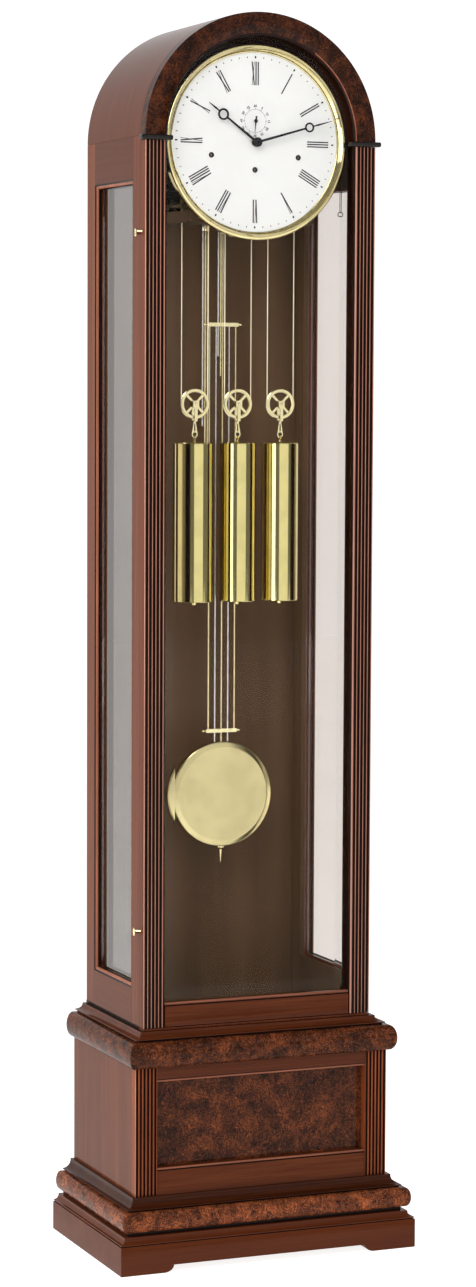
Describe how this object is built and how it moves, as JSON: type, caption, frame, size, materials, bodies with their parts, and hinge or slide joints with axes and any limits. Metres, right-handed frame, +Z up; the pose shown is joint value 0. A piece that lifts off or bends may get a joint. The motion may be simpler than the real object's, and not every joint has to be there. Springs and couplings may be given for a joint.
{
  "type": "longcase clock",
  "caption": "Tall arched longcase clock with a glazed door and sides, round white dial, cable-wound brass weights and a gridiron pendulum on a stepped base.",
  "frame": {"origin": "centre of the plinth's outline on the floor", "axes": "+Z up, the dial and door face -Y, +X to the right of someone facing the dial"},
  "size_m": [0.514, 0.3274, 1.998],
  "materials": {
    "red_brown_wood": "polished straight-grained veneer",
    "burl_wood": "polished burl veneer",
    "dark_wood": "satin stained board",
    "black_lacquer": "gloss black lacquer",
    "polished_brass": "polished and lacquered",
    "steel": "bright",
    "black_steel": "black hands",
    "white_dial": "satin white",
    "clear_glass": "clear"
  },
  "bodies": {
    "case": {"plinth": "red_brown_wood", "lower_moulding": "burl_wood", "base_carcass": "red_brown_wood", "base_front_frame": "red_brown_wood", "base_panel": "burl_wood", "upper_moulding": "burl_wood", "trunk_side_left": "red_brown_wood", "trunk_side_right": "red_brown_wood", "side_glass_left": "clear_glass", "side_glass_right": "clear_glass", "backboard": "dark_wood", "hood_roof": "red_brown_wood", "seat_board": "dark_wood", "front_plate": "polished_brass", "back_plate": "polished_brass", "dial_plate": "white_dial", "bezel": "polished_brass", "chime_block": "steel", "hinge_case_upper": "polished_brass", "hinge_case_lower": "polished_brass", "cable_left": "polished_brass", "cable_centre": "polished_brass", "cable_right": "polished_brass"},
    "door": {"door_stile_left": "red_brown_wood", "door_stile_right": "red_brown_wood", "door_rail": "red_brown_wood", "door_arch": "burl_wood", "door_glass": "clear_glass", "collar_left": "black_lacquer", "collar_right": "black_lacquer", "hinge_door_upper": "polished_brass", "hinge_door_lower": "polished_brass"},
    "minute_work": {"centre_arbor": "steel", "minute_hand": "black_steel"},
    "hour_work": {"hour_wheel": "polished_brass", "hour_hand": "black_steel"},
    "minute_wheel": {"minute_wheel": "polished_brass"},
    "seconds_work": {"escape_wheel": "polished_brass", "seconds_hand": "black_steel"},
    "anchor": {"anchor": "steel"},
    "drum_left": {"drum_left": "polished_brass"},
    "weight_left": {"weight_left": "polished_brass", "stirrup_left": "polished_brass"},
    "pulley_left": {"pulley_left": "polished_brass"},
    "drum_centre": {"drum_centre": "polished_brass"},
    "weight_centre": {"weight_centre": "polished_brass", "stirrup_centre": "polished_brass"},
    "pulley_centre": {"pulley_centre": "polished_brass"},
    "drum_right": {"drum_right": "polished_brass"},
    "weight_right": {"weight_right": "polished_brass", "stirrup_right": "polished_brass"},
    "pulley_right": {"pulley_right": "polished_brass"},
    "pendulum": {"suspension_spring": "steel", "centre_rod": "polished_brass", "gridiron_frame": "polished_brass", "steel_rod_left": "steel", "steel_rod_right": "steel"},
    "bob": {"pendulum_bob": "polished_brass"},
    "rating_nut": {"rating_nut": "polished_brass"},
    "silence_lever": {"silence_lever": "steel"}
  },
  "joints": [
    {"name": "door_hinge", "type": "hinge", "parent": "case", "child": "door", "pos_m": [-0.206, -0.08475, 1], "axis": [0, 0, -1], "range_deg": [0, 110]},
    {"name": "minute_spin", "type": "hinge", "parent": "case", "child": "minute_work", "pos_m": [0, -0.08675, 1.795], "axis": [0, 1, 0], "continuous": true},
    {"name": "hour_spin", "type": "hinge", "parent": "case", "child": "hour_work", "pos_m": [0, -0.08255, 1.795], "axis": [0, 1, 0], "continuous": true},
    {"name": "minute_wheel_spin", "type": "hinge", "parent": "case", "child": "minute_wheel", "pos_m": [0.01784, -0.05875, 1.77894], "axis": [0, 1, 0], "continuous": true},
    {"name": "seconds_spin", "type": "hinge", "parent": "case", "child": "seconds_work", "pos_m": [0, -0.07755, 1.829], "axis": [0, 1, 0], "continuous": true},
    {"name": "pendulum_swing", "type": "hinge", "parent": "case", "child": "pendulum", "pos_m": [0, 0.06025, 1.858], "axis": [0, 1, 0], "range_deg": [-3, 3]},
    {"name": "anchor_rock", "type": "hinge", "parent": "case", "child": "anchor", "pos_m": [0, 0.02325, 1.858], "axis": [0, 1, 0], "range_deg": [-3, 3]},
    {"name": "bob_slide", "type": "slide", "parent": "pendulum", "child": "bob", "axis": [0, 0, 1], "range_m": [-0.005, 0.005]},
    {"name": "nut_turn", "type": "hinge", "parent": "bob", "child": "rating_nut", "pos_m": [0, 0.06025, 0.645], "axis": [0, 0, 1], "range_deg": [-1810, 1810]},
    {"name": "silence_pull", "type": "hinge", "parent": "case", "child": "silence_lever", "pos_m": [0.1, -0.05625, 1.765], "axis": [0, 1, 0], "range_deg": [0, 10]},
    {"name": "weight_left_slide", "type": "slide", "parent": "case", "child": "weight_left", "axis": [0, 0, 1], "range_m": [-0.66, 0.24], "deforming": ["cable_left"]},
    {"name": "pulley_left_spin", "type": "hinge", "parent": "weight_left", "child": "pulley_left", "pos_m": [-0.075, -0.00525, 1.3787], "axis": [0, 1, 0], "range_deg": [-1650, 600]},
    {"name": "drum_left_spin", "type": "hinge", "parent": "case", "child": "drum_left", "pos_m": [-0.075, -0.00525, 1.7732], "axis": [0, 1, 0], "range_deg": [-3300, 1200]},
    {"name": "weight_centre_slide", "type": "slide", "parent": "case", "child": "weight_centre", "axis": [0, 0, 1], "range_m": [-0.66, 0.24], "deforming": ["cable_centre"]},
    {"name": "pulley_centre_spin", "type": "hinge", "parent": "weight_centre", "child": "pulley_centre", "pos_m": [0, -0.00525, 1.3787], "axis": [0, 1, 0], "range_deg": [-1650, 600]},
    {"name": "drum_centre_spin", "type": "hinge", "parent": "case", "child": "drum_centre", "pos_m": [0, -0.00525, 1.7517], "axis": [0, 1, 0], "range_deg": [-3300, 1200]},
    {"name": "weight_right_slide", "type": "slide", "parent": "case", "child": "weight_right", "axis": [0, 0, 1], "range_m": [-0.66, 0.24], "deforming": ["cable_right"]},
    {"name": "pulley_right_spin", "type": "hinge", "parent": "weight_right", "child": "pulley_right", "pos_m": [0.075, -0.00525, 1.3787], "axis": [0, 1, 0], "range_deg": [-1650, 600]},
    {"name": "drum_right_spin", "type": "hinge", "parent": "case", "child": "drum_right", "pos_m": [0.075, -0.00525, 1.7732], "axis": [0, 1, 0], "range_deg": [-3300, 1200]}
  ],
  "couplings": [
    {"joint": "hour_spin", "follows": "minute_spin", "ratio": 0.083333},
    {"joint": "minute_wheel_spin", "follows": "minute_spin", "ratio": -0.33333},
    {"joint": "anchor_rock", "follows": "pendulum_swing", "ratio": 1},
    {"joint": "nut_turn", "follows": "bob_slide", "rad_per_m": 6283.2},
    {"joint": "pulley_left_spin", "follows": "weight_left_slide", "rad_per_m": 43.478},
    {"joint": "drum_left_spin", "follows": "weight_left_slide", "rad_per_m": 86.957},
    {"joint": "pulley_centre_spin", "follows": "weight_centre_slide", "rad_per_m": 43.478},
    {"joint": "drum_centre_spin", "follows": "weight_centre_slide", "rad_per_m": 86.957},
    {"joint": "pulley_right_spin", "follows": "weight_right_slide", "rad_per_m": 43.478},
    {"joint": "drum_right_spin", "follows": "weight_right_slide", "rad_per_m": 86.957}
  ]
}
